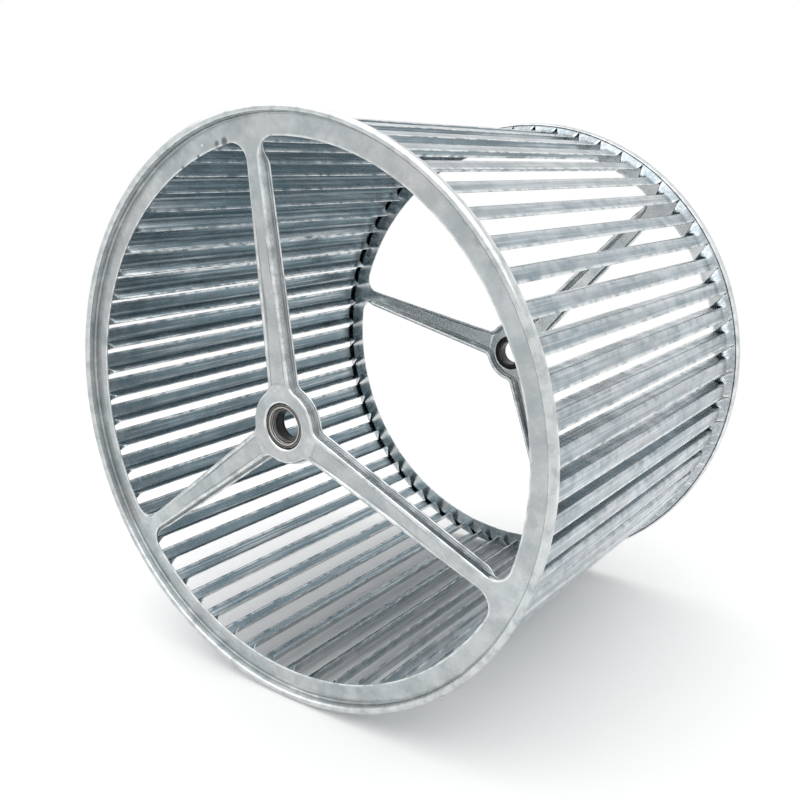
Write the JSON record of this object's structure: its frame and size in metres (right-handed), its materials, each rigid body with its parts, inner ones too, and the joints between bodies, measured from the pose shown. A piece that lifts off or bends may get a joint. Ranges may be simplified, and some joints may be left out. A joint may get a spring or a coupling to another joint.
{
  "type": "blower wheel",
  "caption": "Open drum of forward-curved blades between pressed end plates with hub bushes, turned by a shaft to blow air through an evaporative cooler.",
  "frame": {"origin": "on the shaft axis, at the level of the rear rim's crest, on which the wheel stands", "axes": "+Z along the shaft axis from the rear end plate to the front one, +Y along the middle of one front arm"},
  "size_m": [0.4, 0.4, 0.334],
  "materials": {
    "end_plate": "satin galvanised steel sheet, softly mottled",
    "blade_strip": "satin galvanised steel strip",
    "hub_bush": "dark turned steel with worn bright edges"
  },
  "bodies": {
    "root": {"front_end_plate": "end_plate", "rear_end_plate": "end_plate", "front_hub_bush": "hub_bush", "rear_hub_bush": "hub_bush", "blade_strip": "blade_strip"}
  },
  "joints": []
}
